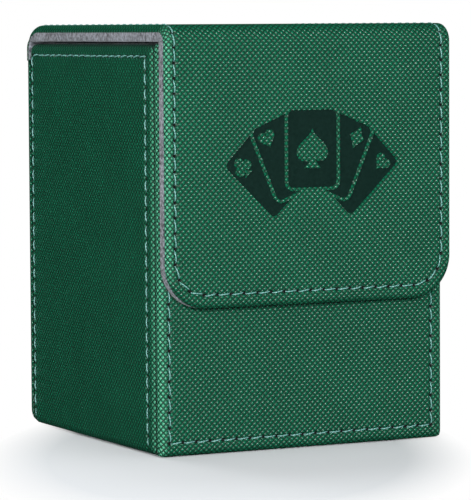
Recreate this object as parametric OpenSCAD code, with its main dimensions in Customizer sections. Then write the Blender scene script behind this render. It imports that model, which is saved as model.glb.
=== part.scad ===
// Card deck box: a stiff tray of leatherette panels, closed by one wrap cover that runs up the
// back, over the top and down the front as a magnetic flap. Millimetres, +Z up, front at -Y,
// origin on the table under the middle of the closed box.

/* [Overall] */
// Width of the box, left to right
box_w = 77; // [70:0.5:110]
// Depth of the closed box, flap face to back face
box_d = 82.8; // [50:0.1:160]
// Height of the closed box
box_h = 102; // [95:0.5:150]

/* [Leatherette] */
// Thickness of the leatherette
skin_t = 0.8; // [0.6:0.1:1.2]
// Thickness of the edge that is turned in behind a board
hem_t = 0.4; // [0.3:0.05:0.8]
// Width of that turned edge, measured from the panel's outline
hem_w = 7; // [5:0.5:12]

/* [Tray panels] */
// Thickness of the boards in the tray's front, sides, back and bottom
board_t = 2; // [1.6:0.1:3]
// Radius of the rolled outer edge of a tray panel
panel_roll = 2; // [1.2:0.1:2.4]
// Radius of the front panel's inner edge, where it meets the sides
front_under_roll = 0.9; // [0.4:0.1:1.1]
// Radius of a tray panel's corners, seen square on
panel_corner = 1; // [0.6:0.1:3]
// Height of the walls' lower edges above the table
wall_lift = 0.1; // [0.05:0.05:1]
// Radius of the bottom panel's rolled edge
bottom_roll = 1; // [0.5:0.1:1.5]
// Microfibre lining of the tray
lining_t = 1; // [0.6:0.1:1.6]

/* [Wrap cover] */
// Thickness of the card that stiffens the back, lid and flap
card_t = 0.7; // [0.6:0.1:1.5]
// Radius of the cover's rolled edge
cover_roll = 1.7; // [1.2:0.1:1.8]
// Thickness of the board inside the lid's and the flap's lining
pad_t = 1.2; // [1:0.1:2]
// How far the lining stays inside the cover's edge
lining_inset = 0; // [0:0.1:1]
// Radius of the lining's rolled edge
lining_roll = 0.6; // [0.3:0.1:0.9]
// Length of the flap, from the top of the box
flap_drop = 66.8; // [40:0.1:85]
// Radius of the flap's lower corners
flap_corner = 10.5; // [4:0.5:15]
// Radius inside the fold between lid and flap
fold_inner = 0.3; // [0.2:0.1:2]
// Outer radius of the bend between back and lid
hinge_r = 5.5; // [4:0.5:8]
// How far the hinge strip runs down the back, from the top of the box
hinge_tail = 9; // [8:0.5:15]
// Radius of the hinge lining over the tray's back edge
hinge_inner = 1.5; // [1:0.1:2]
// Radius of the cover's lower corners on the back
back_corner = 3; // [2.4:0.1:8]

/* [Stitch grooves] */
// Distance of the stitch line from a tray panel's edge
panel_seam = 2.8; // [2.5:0.1:4]
// The same from a side panel's front edge
side_seam_front = 4.6; // [2.5:0.1:6]
// The same from a side panel's back edge
side_seam_back = 1.9; // [1.8:0.1:4]
// Distance of the stitch line from the cover's long edges and its end on the back
cover_seam = 2.5; // [2.3:0.1:4]
// The same from the flap's lower edge
flap_seam_low = 3.2; // [2.3:0.1:5]
// Width of the groove that the thread lies in
seam_w = 0.8; // [0.4:0.1:1]
// Depth of that groove
seam_depth = 0.25; // [0.1:0.05:0.4]

/* [Magnets] */
// Diameter of the magnets in the flap
magnet_d = 10; // [6:0.5:14]
// Thickness of those magnets
magnet_t = 0.9; // [0.6:0.1:1]
// Diameter of the steel discs in the front panel
keeper_d = 12; // [6:0.5:16]
// Thickness of those discs
keeper_t = 1.2; // [0.8:0.1:1.5]
// Distance between the two magnets
magnet_pitch = 38; // [20:1:50]
// Height of the magnets above the flap's lower edge
magnet_rise = 13; // [11:0.5:20]

/* [Clearances] */
// Lid lining over the front panel
lid_gap = 0.2; // [0.1:0.05:0.5]
// Top of the lining's rim below the lid
rim_gap = 0.3; // [0.2:0.05:0.8]
// Top of the side panels below the lid
side_gap = 0.7; // [0.4:0.1:2]
// Flap lining off the front panel
flap_gap = 0.2; // [0.1:0.05:0.5]
// Boards, magnets and folded linings in their pockets
fit = 0.1; // [0.05:0.05:0.2]

/* [Hidden] */
// Overlap of a cut past the face that it opens
cut = 0.5;
// Flat that is left on an edge beside its roll
edge_land = 0.1;

// Layers of the walls and of the cover
panel_t = skin_t + board_t + hem_t;
shell_t = skin_t + card_t + hem_t;
liner_t = pad_t + lining_t;
lid_t = shell_t + liner_t;
liner_w = box_w - 2 * lining_inset;

// Rolls, limited by the thickness that they turn over
panel_r = min(panel_roll, panel_t - edge_land);
front_under_r = min(front_under_roll, panel_t - panel_r - edge_land);
cover_r = min(cover_roll, shell_t - edge_land);

// Planes from front to back
flap_y = -box_d / 2;
front_y = flap_y + lid_t + flap_gap;
front_inner_y = front_y + panel_t;
bay_front_y = front_inner_y + lining_t;
back_y = box_d / 2;
back_inner_y = back_y - shell_t;
back_lining_y = back_inner_y - board_t;
bay_back_y = back_lining_y - lining_t;
tray_middle_y = (front_inner_y + back_inner_y) / 2;

// Planes from the middle to the side
side_inner_x = box_w / 2 - panel_t;
bay_x = side_inner_x - lining_t;

// Planes from the table up
floor_board_z = skin_t + board_t;
flap_low_z = box_h - flap_drop;
lid_inner_z = box_h - lid_t;
front_top_z = lid_inner_z - lid_gap;
rim_z = lid_inner_z - rim_gap;
side_top_z = lid_inner_z - side_gap;
tail_z = box_h - hinge_tail;

// Fold between lid and flap: the line that its layers turn about
fold_r = lid_t + fold_inner;
fold_y = flap_y + fold_r;
fold_z = box_h - fold_r;

// Bend between back and lid: the leatherette thins round it from the full shell to one layer
hinge_y = back_y - hinge_r;
hinge_z = box_h - hinge_r;
bend_inner_r = hinge_r - skin_t;
bend_inner_z = box_h - shell_t - bend_inner_r;

// Line that the hinge lining turns about where it passes over the tray's back edge
back_rim_y = back_inner_y - hinge_inner;
back_rim_z = lid_inner_z - hinge_inner;

// Sizes of the panels. A leaf of the cover is made longer by one corner and cut at its bend
front_h = front_top_z - wall_lift;
side_h = side_top_z - wall_lift;
side_d = back_inner_y - front_inner_y;
lid_d = hinge_y - fold_y;
flap_leaf_h = fold_z - flap_low_z + flap_corner;
back_leaf_h = tail_z - wall_lift + back_corner;
magnet_z = flap_low_z + magnet_rise;

green = "#1b5e40";
board_grey = "#8d8a82";
lining_grey = "#8b8f90";
steel = "#b9bcc0";

$fn = 48;

// Quarter of a disc in the first quadrant
module quarter(r) {
  intersection() {
    circle(r);
    square(2 * r);
  }
}

// Rectangle with round corners, centred
module rounded(w, h, r) {
  square([w - 2 * r, h], center = true);
  for (turn = [0, 180]) {
    rotate(turn) {
      translate([w / 2 - r, r - h / 2]) square([r, h - 2 * r]);
      translate([w / 2 - r, h / 2 - r]) quarter(r);
      translate([w / 2 - r, r - h / 2]) mirror([0, 1]) quarter(r);
    }
  }
}

// Section of a plate's edge: it ends at x = run, and its face at y = t is rolled over by r
module edge_section(run, t, r, under = 0) {
  square([run - r, t]);
  translate([run - r, t - r]) quarter(r);
  translate([run - r, under]) square([r, t - r - under]);
  if (under > 0) {
    translate([run - r, 0]) square([r - under, under]);
    translate([run - under, under]) mirror([0, 1]) quarter(under);
  }
}

// Section across a whole plate, between two such edges
module plate_section(w, t, r, under = 0) {
  for (side = [0, 1]) mirror([side, 0]) edge_section(w / 2, t, r, under);
}

// Plate on z = 0 whose outer face, at z = t, is rolled over all round and round its corners
module rolled_plate(w, h, t, corner, r) {
  linear_extrude(t) square([w - 2 * corner, h - 2 * corner], center = true);
  for (turn = [0, 180]) {
    rotate(turn) {
      translate([w / 2 - corner, h / 2 - corner, 0]) {
        rotate([90, 0, 0]) linear_extrude(h - 2 * corner) edge_section(corner, t, r);
        rotate_extrude(angle = 90) edge_section(corner, t, r);
      }
      translate([corner - w / 2, h / 2 - corner, 0]) {
        rotate([90, 0, 90]) linear_extrude(w - 2 * corner) edge_section(corner, t, r);
        rotate(90) rotate_extrude(angle = 90) edge_section(corner, t, r);
      }
    }
  }
}

// Plate on z = 0 that is rolled over all round, its rolls meeting in mitres at tight corners
module mitred_plate(w, h, t, corner, r, under = 0) {
  intersection() {
    rotate([90, 0, 0]) translate([0, 0, -h / 2]) linear_extrude(h) plate_section(w, t, r, under);
    rotate([90, 0, 90]) translate([0, 0, -w / 2]) linear_extrude(w) plate_section(h, t, r, under);
    linear_extrude(t) rounded(w, h, corner);
  }
}

// Ring that a stitch groove takes out of a panel's face, its distances from the panel's edges
// given as left, right, low and high
module seam_ring(w, h, corner, seam) {
  ring_w = w - seam[0] - seam[1];
  ring_h = h - seam[2] - seam[3];
  ring_r = max(corner - seam[0], seam_w);
  translate([(seam[0] - seam[1]) / 2, (seam[2] - seam[3]) / 2]) difference() {
    rounded(ring_w + seam_w, ring_h + seam_w, ring_r + seam_w / 2);
    rounded(ring_w - seam_w, ring_h - seam_w, ring_r - seam_w / 2);
  }
}

// Outline of the board inside a covered panel
module board_outline(w, h, corner, gap = 0) {
  inset = skin_t + gap;
  rounded(w - 2 * inset, h - 2 * inset, max(corner - inset, edge_land));
}

// Leatherette of a panel, cut from its plate: face, rolled edges and the hem that is turned in
// behind the board. An open end has no hem, so the window between the hems runs out past it
module covering(w, h, core_t, corner, seam, open_end = false) {
  t = skin_t + core_t + hem_t;
  window_h = open_end ? h : h - 2 * hem_w;
  difference() {
    children();
    translate([0, 0, hem_t]) linear_extrude(core_t) board_outline(w, h, corner);
    translate([hem_w - w / 2, hem_w - h / 2, -cut]) cube([w - 2 * hem_w, window_h, hem_t + 2 * cut]);
    translate([0, 0, t - seam_depth]) linear_extrude(seam_depth + cut)
      seam_ring(w, h, corner, seam);
  }
}

// Stands a plate up: its face points to the front, turned on by an angle about the vertical
module upright(turn = 0) {
  rotate(turn) rotate([90, 0, 0]) children();
}

// Keeps what lies below a height, for a leaf of the cover that runs on into a bend
module below(z) {
  reach = box_w + box_d;
  intersection() {
    children();
    translate([-reach, -reach, -box_h]) cube([2 * reach, 2 * reach, box_h + z]);
  }
}

// Outline seen from the side, x to the back and y up, run across the middle of the box
module across_box(w) {
  translate([-w / 2, 0, 0]) rotate([90, 0, 90]) linear_extrude(w) children();
}

// Both places of a pair of magnets or discs
module magnet_pair() {
  for (side = [-1, 1]) translate([side * magnet_pitch / 2, 0, 0]) children();
}

// Front panel of the tray

module front_place() {
  translate([0, front_inner_y, wall_lift + front_h / 2]) upright() children();
}

module front_skin() {
  seam = [panel_seam, panel_seam, panel_seam, panel_seam];
  color(green) front_place() covering(box_w, front_h, board_t, panel_corner, seam)
    mitred_plate(box_w, front_h, panel_t, panel_corner, panel_r, front_under_r);
}

module front_board() {
  color(board_grey) difference() {
    front_place() translate([0, 0, hem_t]) linear_extrude(board_t)
      board_outline(box_w, front_h, panel_corner, fit);
    keeper_discs(fit, cut);
  }
}

// Steel discs let into the outer face of the front board
module keeper_discs(gap = 0, proud = 0) {
  translate([0, front_y + skin_t + keeper_t, magnet_z]) upright() magnet_pair()
    cylinder(d = keeper_d + 2 * gap, h = keeper_t + proud);
}

module front_keepers() {
  color(steel) keeper_discs();
}

// Wall lining seen along its run, x from its inner to its outer face, with a round rim
module rim_section() {
  r = lining_t / 2;
  h = rim_z - floor_board_z;
  square([lining_t, h - r]);
  translate([r, h - r]) {
    quarter(r);
    mirror([1, 0]) quarter(r);
  }
}

module front_lining() {
  color(lining_grey) translate([0, front_inner_y, floor_board_z])
    across_box(2 * side_inner_x) rim_section();
}

// Side panels of the tray

module side_place(turn) {
  translate([0, tray_middle_y, wall_lift + side_h / 2])
    rotate(turn) translate([0, -side_inner_x, 0]) upright() children();
}

// The stitch line runs down to the lower edge and out past it
module side_skin(turn) {
  seam = turn < 0
    ? [side_seam_back, side_seam_front, -panel_seam, panel_seam]
    : [side_seam_front, side_seam_back, -panel_seam, panel_seam];
  color(green) side_place(turn) covering(side_d, side_h, board_t, panel_corner, seam)
    mitred_plate(side_d, side_h, panel_t, panel_corner, panel_r);
}

module side_board(turn) {
  color(board_grey) side_place(turn) translate([0, 0, hem_t]) linear_extrude(board_t)
    board_outline(side_d, side_h, panel_corner, fit);
}

module side_lining(inner_x) {
  color(lining_grey) translate([inner_x, bay_back_y, floor_board_z])
    rotate([90, 0, 0]) linear_extrude(bay_back_y - bay_front_y) rim_section();
}

module left_skin() side_skin(-90);
module left_board() side_board(-90);
module left_lining() side_lining(-side_inner_x);

module right_skin() side_skin(90);
module right_board() side_board(90);
module right_lining() side_lining(bay_x);

// Back wall of the tray, inside the cover

module back_board() {
  color(board_grey) translate([-side_inner_x, back_lining_y, floor_board_z])
    cube([2 * side_inner_x, board_t, back_rim_z - fit - floor_board_z]);
}

// The lining's rim turns back over the board in a quarter round that follows the hinge lining
module back_lining() {
  r = hinge_inner - rim_gap;
  color(lining_grey) across_box(2 * side_inner_x) {
    translate([bay_back_y, floor_board_z]) rim_section();
    translate([bay_back_y + lining_t / 2, back_rim_z]) square([back_rim_y - bay_back_y - lining_t / 2, r]);
    translate([back_rim_y, back_rim_z]) quarter(r);
  }
}

// Bottom of the tray

module bottom_skin() {
  color(green) translate([0, tray_middle_y, 0]) difference() {
    translate([0, 0, floor_board_z]) rotate([180, 0, 0])
      mitred_plate(2 * side_inner_x, side_d, floor_board_z, panel_corner, bottom_roll);
    translate([0, 0, skin_t]) linear_extrude(board_t + cut)
      board_outline(2 * side_inner_x, side_d, panel_corner);
  }
}

module bottom_board() {
  color(board_grey) translate([0, tray_middle_y, skin_t]) linear_extrude(board_t)
    board_outline(2 * side_inner_x, side_d, panel_corner, fit);
}

module bottom_lining() {
  color(lining_grey) translate([-bay_x, bay_front_y, floor_board_z])
    cube([2 * bay_x, bay_back_y - bay_front_y, lining_t]);
}

// Wrap cover, up the back

module back_place() {
  below(tail_z) translate([0, back_inner_y, wall_lift + back_leaf_h / 2]) upright(180) children();
}

module back_skin() {
  seam = [cover_seam, cover_seam, cover_seam, cover_seam];
  color(green) back_place()
    covering(box_w, back_leaf_h, card_t, back_corner, seam, open_end = true)
      rolled_plate(box_w, back_leaf_h, shell_t, back_corner, cover_r);
}

module back_card() {
  color(board_grey) back_place() translate([0, 0, hem_t]) linear_extrude(card_t)
    board_outline(box_w, back_leaf_h, back_corner, fit);
}

// Wrap cover, round the bend from the back to the lid

// Cover seen along its run: x over the width, y out through the thickness, face at y = t
module cover_section(t) {
  difference() {
    plate_section(box_w, t, cover_r);
    for (side = [-1, 1])
      translate([side * (box_w / 2 - cover_seam), t])
        square([seam_w, 2 * seam_depth], center = true);
  }
}

// Section carried round a bend from straight up, a quarter turn toward the back
module turned_layer(inner_r) {
  rotate([0, -90, 0]) rotate_extrude(angle = 90) translate([inner_r, 0]) rotate(-90) children();
}

// Space inside the leatherette of the bend, seen from the side
module bend_space(gap = 0) {
  r = bend_inner_r - gap;
  translate([hinge_y, bend_inner_z]) {
    quarter(r);
    translate([-r, 0]) square(r);
    translate([-r, -box_h]) square([2 * r, box_h]);
  }
}

module hinge_skin() {
  blank_t = skin_t + cover_r;
  color(green) difference() {
    union() {
      translate([0, hinge_y, hinge_z]) turned_layer(hinge_r - blank_t) cover_section(blank_t);
      translate([0, back_y - blank_t, tail_z]) linear_extrude(hinge_z - tail_z)
        cover_section(blank_t);
    }
    across_box(2 * box_w) bend_space();
  }
}

module hinge_lining() {
  color(lining_grey) across_box(liner_w) difference() {
    intersection() {
      bend_space(fit);
      translate([hinge_y, tail_z]) square([hinge_r, hinge_tail]);
    }
    translate([back_rim_y, back_rim_z]) {
      quarter(hinge_inner);
      translate([-hinge_r, 0]) square([hinge_r, hinge_inner]);
      translate([-hinge_r, -box_h]) square([hinge_r + hinge_inner, box_h]);
    }
  }
}

// Wrap cover, lid

// Runs a section along the lid, with y = 0 at a height
module along_lid(z) {
  translate([0, hinge_y, z]) rotate([90, 0, 0]) linear_extrude(lid_d) children();
}

module lid_skin() {
  pocket_w = box_w - 2 * skin_t;
  window_w = box_w - 2 * hem_w;
  color(green) along_lid(box_h - shell_t) difference() {
    cover_section(shell_t);
    translate([-pocket_w / 2, hem_t]) square([pocket_w, card_t]);
    translate([-window_w / 2, -cut]) square([window_w, hem_t + 2 * cut]);
  }
}

module lid_card() {
  w = box_w - 2 * (skin_t + fit);
  color(board_grey) along_lid(box_h - shell_t + hem_t)
    translate([-w / 2, 0]) square([w, card_t]);
}

// Lining seen along its run, with its rolled face at y = 0
module liner_section(t) {
  translate([0, t]) mirror([0, 1]) plate_section(liner_w, t, lining_roll);
}

module lid_pad() {
  w = liner_w - 2 * (lining_t + fit);
  color(board_grey) along_lid(lid_inner_z + lining_t) translate([-w / 2, 0]) square([w, pad_t]);
}

module lid_lining() {
  pocket_w = liner_w - 2 * lining_t;
  color(lining_grey) along_lid(lid_inner_z) difference() {
    liner_section(liner_t);
    translate([-pocket_w / 2, lining_t]) square([pocket_w, pad_t + cut]);
  }
}

// Wrap cover, fold from the lid to the flap

module fold_place() {
  translate([0, fold_y, fold_z]) rotate(180) children();
}

module fold_skin() {
  color(green) fold_place() turned_layer(fold_r - shell_t) cover_section(shell_t);
}

module fold_lining() {
  color(lining_grey) fold_place() turned_layer(fold_inner) liner_section(liner_t - fit);
}

// Wrap cover, flap

module flap_place(turn) {
  below(fold_z) translate([0, flap_y + shell_t, flap_low_z + flap_leaf_h / 2])
    upright(turn) children();
}

module flap_skin() {
  seam = [cover_seam, cover_seam, flap_seam_low, cover_seam];
  color(green) flap_place(0)
    covering(box_w, flap_leaf_h, card_t, flap_corner, seam, open_end = true)
      rolled_plate(box_w, flap_leaf_h, shell_t, flap_corner, cover_r);
}

module flap_card() {
  color(board_grey) flap_place(0) translate([0, 0, hem_t]) linear_extrude(card_t)
    board_outline(box_w, flap_leaf_h, flap_corner, fit);
}

// Outline of the pad inside the flap's lining
module pad_outline(gap = 0) {
  inset = lining_inset + lining_t + gap;
  rounded(box_w - 2 * inset, flap_leaf_h - 2 * inset, flap_corner - inset);
}

// Magnets let into the inner face of the flap's pad
module magnet_discs(gap = 0, proud = 0) {
  translate([0, flap_y + shell_t + pad_t - magnet_t, magnet_z]) upright(180) magnet_pair()
    cylinder(d = magnet_d + 2 * gap, h = magnet_t + proud);
}

module flap_pad() {
  color(board_grey) difference() {
    flap_place(180) linear_extrude(pad_t) pad_outline(fit);
    magnet_discs(fit, cut);
  }
}

module flap_magnets() {
  color(steel) magnet_discs();
}

module flap_lining() {
  h = flap_leaf_h - 2 * lining_inset;
  color(lining_grey) flap_place(180) difference() {
    rolled_plate(liner_w, h, liner_t, flap_corner - lining_inset, lining_roll);
    translate([0, 0, -cut]) linear_extrude(pad_t + cut) pad_outline();
  }
}

front_skin();
front_board();
front_keepers();
front_lining();
left_skin();
left_board();
left_lining();
right_skin();
right_board();
right_lining();
back_board();
back_lining();
bottom_skin();
bottom_board();
bottom_lining();
back_skin();
back_card();
hinge_skin();
hinge_lining();
lid_skin();
lid_card();
lid_pad();
lid_lining();
fold_skin();
fold_lining();
flap_skin();
flap_card();
flap_pad();
flap_magnets();
flap_lining();
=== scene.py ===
import math
from types import SimpleNamespace

import bpy
import numpy as np
from mathutils import Matrix, Vector
from mathutils.geometry import delaunay_2d_cdt


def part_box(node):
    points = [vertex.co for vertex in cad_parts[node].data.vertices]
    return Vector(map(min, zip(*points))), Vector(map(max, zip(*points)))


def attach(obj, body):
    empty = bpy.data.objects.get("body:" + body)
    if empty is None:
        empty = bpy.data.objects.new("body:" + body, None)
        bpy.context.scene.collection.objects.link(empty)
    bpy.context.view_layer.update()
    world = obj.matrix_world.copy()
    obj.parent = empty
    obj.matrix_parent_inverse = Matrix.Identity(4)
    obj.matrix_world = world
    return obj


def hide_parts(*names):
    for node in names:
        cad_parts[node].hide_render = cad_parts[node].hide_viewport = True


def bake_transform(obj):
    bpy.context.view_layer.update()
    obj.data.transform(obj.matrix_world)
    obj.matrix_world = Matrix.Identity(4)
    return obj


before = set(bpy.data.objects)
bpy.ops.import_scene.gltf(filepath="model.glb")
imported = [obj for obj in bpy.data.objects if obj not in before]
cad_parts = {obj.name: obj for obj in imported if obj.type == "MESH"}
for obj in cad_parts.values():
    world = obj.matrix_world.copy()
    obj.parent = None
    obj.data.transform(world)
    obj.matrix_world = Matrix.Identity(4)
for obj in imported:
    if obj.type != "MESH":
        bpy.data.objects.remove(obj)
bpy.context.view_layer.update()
scene = bpy.context.scene
MM = 0.001

# Camera. A long lens stands off the box's left front edge, a little above its middle, and looks
# slightly down. The picture is 500 pixels high, and the lens gives 3110 pixels per unit of slope.
PICTURE_HIGH, PER_SLOPE = 500, 3109.7
AIM, STAND_OFF = Vector((0.225, 0, 45.53)), 779.2
swing, dip, tilt = (math.radians(a) for a in (27.0, 4.109, -0.33))
ahead = Vector((math.sin(swing) * math.cos(dip), math.cos(swing) * math.cos(dip), -math.sin(dip)))
level = Vector((math.cos(swing), -math.sin(swing), 0))
above = level.cross(ahead)
to_right = level * math.cos(tilt) + above * math.sin(tilt)
to_top = above * math.cos(tilt) - level * math.sin(tilt)
lens = bpy.data.cameras.new("Camera")
lens.sensor_width = 36
lens.lens = PER_SLOPE / PICTURE_HIGH * lens.sensor_width
lens.clip_start, lens.clip_end = 0.05, 20
camera = bpy.data.objects.new("Camera", lens)
turned = Matrix((to_right, to_top, -ahead)).transposed().to_4x4()
turned.translation = (AIM - ahead * STAND_OFF) * MM
camera.matrix_world = turned
scene.collection.objects.link(camera)
scene.camera = camera


# Boards, cards and pads. Grey recycled millboard and thin card stiffen every panel. They are cut
# with a knife and stay hidden inside the leatherette and the lining.
def linear(colour):
    """sRGB hex to the linear values that a shader takes."""
    parts = [int(colour[i:i + 2], 16) / 255 for i in (1, 3, 5)]
    return [c / 12.92 if c <= 0.04045 else ((c + 0.055) / 1.055) ** 2.4 for c in parts] + [1]


def add(tree, kind, sockets=None, **settings):
    """Adds a node with its settings; each of sockets is a value or another node's output."""
    made = tree.nodes.new(kind)
    for name, value in settings.items():
        setattr(made, name, value)
    for name, value in (sockets or {}).items():
        if isinstance(value, bpy.types.NodeSocket):
            tree.links.new(value, made.inputs[name])
        else:
            made.inputs[name].default_value = value
    return made


def calc(tree, operation, *values):
    """A sum on numbers and sockets."""
    return add(tree, "ShaderNodeMath", dict(enumerate(values)), operation=operation).outputs[0]


def noise(tree, place, size, detail):
    """Cloudy noise whose patches have a size in millimetres."""
    sockets = {"Vector": place, "Scale": 1 / (size * MM), "Detail": detail}
    return add(tree, "ShaderNodeTexNoise", sockets).outputs["Fac"]


def carried(tree, value, low, high, start=0.0, end=1.0):
    """A value that runs from start to end, carried over to low and high."""
    sockets = {"Value": value, "From Min": start, "From Max": end, "To Min": low, "To Max": high}
    return add(tree, "ShaderNodeMapRange", sockets).outputs["Result"]


def mixed(tree, factor, first, second, blend_type="MIX"):
    """Two colours mixed by a factor."""
    sockets = {"Factor": factor, "A": first, "B": second}
    made = add(tree, "ShaderNodeMix", sockets, data_type="RGBA", blend_type=blend_type)
    return made.outputs["Result"]


def toned(tree, value, *stops):
    """Colours along a value, from two or more stops in rising order."""
    made = add(tree, "ShaderNodeValToRGB", {"Fac": value})
    marks = made.color_ramp.elements
    for i, (at, colour) in enumerate(stops):
        mark = marks[i] if i < 2 else marks.new(at)
        mark.position = at
        mark.color = linear(colour)
    return made.outputs["Color"]


def bumped(tree, height, depth, **under):
    """A normal for a height from 0 to 1 that stands for a depth in millimetres."""
    sockets = {"Height": height, "Distance": depth * MM, **under}
    return add(tree, "ShaderNodeBump", sockets).outputs["Normal"]


def new_finish(name):
    """An empty node material and its tree."""
    finish = bpy.data.materials.new(name)
    finish.use_nodes = True
    finish.node_tree.nodes.clear()
    return finish, finish.node_tree


def surface(tree, sockets):
    """The shader with its values, joined to the material's output."""
    shade = add(tree, "ShaderNodeBsdfPrincipled", sockets)
    add(tree, "ShaderNodeOutputMaterial", {"Surface": shade.outputs["BSDF"]})


def finish_nodes(material, *names):
    """Gives CAD nodes that stay as they are a finish."""
    for name in names:
        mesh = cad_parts[name].data
        mesh.materials.clear()
        mesh.materials.append(material)


# Millboard: pressed paper pulp, matt, with fibres about 2 mm long in two greys
millboard, tree = new_finish("millboard")
place = add(tree, "ShaderNodeTexCoord").outputs["Object"]
fibres = noise(tree, place, 2, 6)
surface(tree, {
    "Base Color": mixed(tree, fibres, linear("#6F6C64"), linear("#A39F94")),
    "Normal": bumped(tree, fibres, 0.05), "Roughness": 0.9})
finish_nodes(
    millboard, "front_board", "left_board", "right_board", "back_board", "bottom_board",
    "back_card", "lid_card", "lid_pad", "flap_card", "flap_pad")

# Magnets and keeper discs. Sintered magnets and punched steel discs, both nickel plated, are let
# into the flap's pad and into the front board.
nickel, tree = new_finish("nickel_plate")
place = add(tree, "ShaderNodeTexCoord").outputs["Object"]
swirl = noise(tree, place, 0.4, 3)
surface(tree, {
    "Base Color": linear("#C9C6BE"), "Metallic": 1, "Roughness": carried(tree, swirl, 0.22, 0.4)})
finish_nodes(nickel, "front_keepers", "flap_magnets")

# Leatherette. PU on a cloth back, 0.8 mm thick, embossed like a plain weave laid cornerwise: round
# pads 1 mm wide stand between two sets of slanting grooves, in a centred lattice of 1.43 mm. The
# pads are rubbed smooth and their flanks catch the light, and the grooves stay dull. The colour
# goes from the dye's green on the pads to near black in the grooves, which is painted shade.
WEAVE, EMBOSS, GRAIN, GRAIN_DEPTH = 1.43, 0.26, 0.25, 0.012
leatherette, tree = new_finish("embossed_leatherette")
place = add(tree, "ShaderNodeUVMap", uv_map="weave").outputs["UV"]
turns = {0: place, "Scale": math.pi / (WEAVE * MM)}
way = add(tree, "ShaderNodeVectorMath", turns, operation="SCALE").outputs["Vector"]
way = add(tree, "ShaderNodeSeparateXYZ", {"Vector": way}).outputs
rising = calc(tree, "COSINE", calc(tree, "SUBTRACT", way["X"], way["Y"]))
falling = calc(tree, "COSINE", calc(tree, "ADD", way["X"], way["Y"]))
pad = calc(tree, "ABSOLUTE", calc(tree, "MULTIPLY", rising, falling))
# The dye's green, with painted shade darkening it towards the grooves
dye_and_painted_light = toned(tree, pad, (0.0, "#01281A"), (0.3, "#04442E"), (0.9, "#0C5D42"))
cloud = carried(tree, noise(tree, place, 14, 3), 0.92, 1.08, 0.3, 0.7)
dye_and_painted_light = mixed(tree, 1.0, dye_and_painted_light, cloud, "MULTIPLY")
# Painted highlight: the pads are drawn paler on the upright rolled edges
rubbed = add(tree, "ShaderNodeAttribute", attribute_name="rub").outputs["Fac"]
rubbed = calc(tree, "MULTIPLY", rubbed, carried(tree, pad, 0, 1, 0.2, 0.7))
dye_and_painted_light = mixed(tree, rubbed, dye_and_painted_light, linear("#489F7C"))
# Painted shade: needle holes, and the joint in front of a side panel, are coloured near black
needle = add(tree, "ShaderNodeAttribute", attribute_name="needle").outputs["Fac"]
hole_and_joint_shade = carried(tree, needle, 1, 0, 0.9, 1.2)
embossed = bumped(tree, pad, EMBOSS)
dull = carried(tree, pad, 0.55, 0.28, 0.1, 0.5)
surface(tree, {
    "Base Color": mixed(tree, hole_and_joint_shade, dye_and_painted_light, linear("#010403")),
    "Normal": bumped(tree, noise(tree, place, GRAIN, 2), GRAIN_DEPTH, Normal=embossed),
    "Roughness": calc(tree, "MAXIMUM", dull, hole_and_joint_shade), "Specular IOR Level": 0.45})

# Tray panels. Each is a board wrapped in leatherette: the face is drawn over rolled edges that meet
# in mitres at the corners, and a hem 7 mm wide is turned in and glued behind. A seam holds both.
SKIN, HEM, HEM_WIDTH, BOARD = 0.8, 0.4, 7, 2
HEM_ROWS = 4
PANEL, PANEL_ROLL, PANEL_EDGE, PANEL_MITRE = SKIN + BOARD + HEM, 2, 6, 13
SIDE_GAP, JOINT_DEEP, JOINT_SHADE = 0.35, 0.56, 1.01
FRONT_SEAMS, FRONT_UNDER = (2.3, 3.4, 3.3, 2.8), 1.2
REAR_SEAM, FORE_SEAM, FOOT_SEAM, TOP_SEAM = 1.9, 4.25, 0.8, 2.8
STITCH = 3.6
SEAM_PRESS, SEAM_WIDTH = 0.22, 0.45
HOLE_PRESS, HOLE_LONG, HOLE_WIDE, FAR = 0.5, 0.54, 0.36, 3.0
BESIDE_SEAM = (-0.45, -0.3, -0.15, 0, 0.15, 0.3, 0.45)


def spaced(start, end, step, stops=()):
    """Positions from start to end about a step apart, with the stops among them."""
    marks = [start]
    for stop in sorted(stops):
        if marks[-1] + 0.1 < stop < end - 0.1:
            marks.append(stop)
    marks.append(end)
    runs = []
    for a, b in zip(marks, marks[1:]):
        runs.append(np.linspace(a, b, max(1, round((b - a) / step)) + 1)[:-1])
    return np.append(np.concatenate(runs), end)


def wrapped_edge(depth, roll, thick, seams=(), under=0.0):
    """Inset, height and run of leatherette from the flat, round the edge, to the pocket inside.
    The last rows, HEM_ROWS of them, are the hem and the pocket."""
    beside = [seam + shift for seam in seams for shift in BESIDE_SEAM]
    rows = [(d, 0, depth - d) for d in spaced(roll, depth, 0.4, beside)[::-1]]
    run = depth - roll
    for a in np.linspace(0, math.pi / 2, 9)[1:]:
        rows.append((roll - roll * math.sin(a), roll * (math.cos(a) - 1), run + roll * a))
    run += roll * math.pi / 2 + thick - roll - under
    rows.append((0, under - thick, run))
    if under:
        for a in np.linspace(0, math.pi / 2, 5)[1:]:
            inset, height = under - under * math.cos(a), under - thick - under * math.sin(a)
            rows.append((inset, height, run + under * a))
        run = rows[-1][2]
    rows.append((HEM_WIDTH, -thick, run + HEM_WIDTH))
    rows.append((HEM_WIDTH, HEM - thick, run + HEM_WIDTH))
    rows.append((SKIN, HEM - thick, run))
    rows.append((SKIN, -SKIN, run))
    return np.array(rows)


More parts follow.
